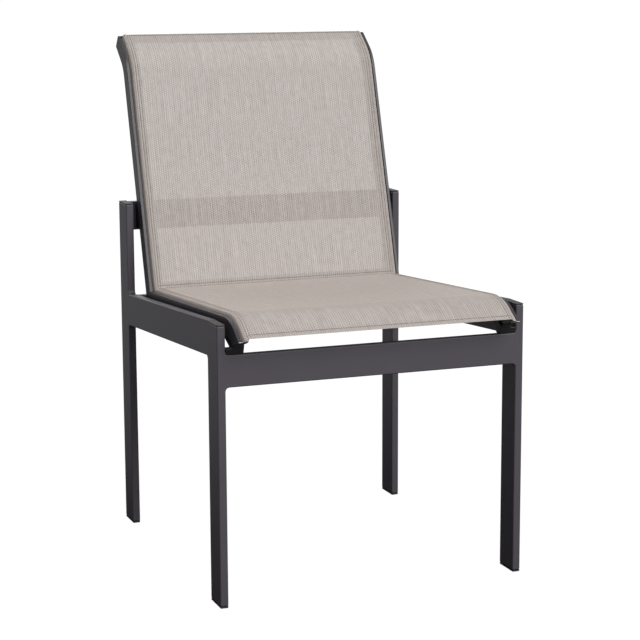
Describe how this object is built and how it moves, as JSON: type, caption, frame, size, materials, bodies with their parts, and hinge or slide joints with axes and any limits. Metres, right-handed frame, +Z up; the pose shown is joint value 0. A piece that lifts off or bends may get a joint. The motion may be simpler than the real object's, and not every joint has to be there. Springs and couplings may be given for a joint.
{
  "type": "sling patio chair",
  "caption": "Armless outdoor dining chair: a flat-tube metal base carries a sling frame with a stretched mesh seat and a back that rolls over at the top.",
  "frame": {"origin": "on the floor, under the middle of the chair's box", "axes": "+X to the right as seen from the front, +Y towards the back of the chair (the sitter faces -Y), +Z up"},
  "size_m": [0.54, 0.7078, 0.9023],
  "materials": {
    "frame_coat": "fine-textured charcoal powder coat, satin",
    "rail_coat": "fine-textured charcoal powder coat, satin",
    "cap_plastic": "matt moulded black",
    "sling_fabric": "open weave of vinyl-coated yarn, matt",
    "spline_plastic": "plain extruded, off-white"
  },
  "bodies": {
    "root": {"front_left_leg": "frame_coat", "front_left_leg_cap": "cap_plastic", "front_left_foot_glide": "cap_plastic", "front_right_leg": "frame_coat", "front_right_leg_cap": "cap_plastic", "front_right_foot_glide": "cap_plastic", "rear_left_leg": "frame_coat", "rear_left_leg_cap": "cap_plastic", "rear_left_foot_glide": "cap_plastic", "rear_right_leg": "frame_coat", "rear_right_leg_cap": "cap_plastic", "rear_right_foot_glide": "cap_plastic", "left_side_rail": "frame_coat", "right_side_rail": "frame_coat", "front_rail": "frame_coat", "rear_rail": "frame_coat", "back_brace": "frame_coat", "left_seat_rail": "rail_coat", "left_back_rail": "rail_coat", "left_seat_rail_cap": "cap_plastic", "left_back_rail_cap": "cap_plastic", "left_front_bracket": "frame_coat", "left_back_bracket": "frame_coat", "left_seat_spline": "spline_plastic", "left_back_spline": "spline_plastic", "right_seat_rail": "rail_coat", "right_back_rail": "rail_coat", "right_seat_rail_cap": "cap_plastic", "right_back_rail_cap": "cap_plastic", "right_front_bracket": "frame_coat", "right_back_bracket": "frame_coat", "right_seat_spline": "spline_plastic", "right_back_spline": "spline_plastic", "back_sling": "sling_fabric", "seat_sling": "sling_fabric"}
  },
  "joints": []
}
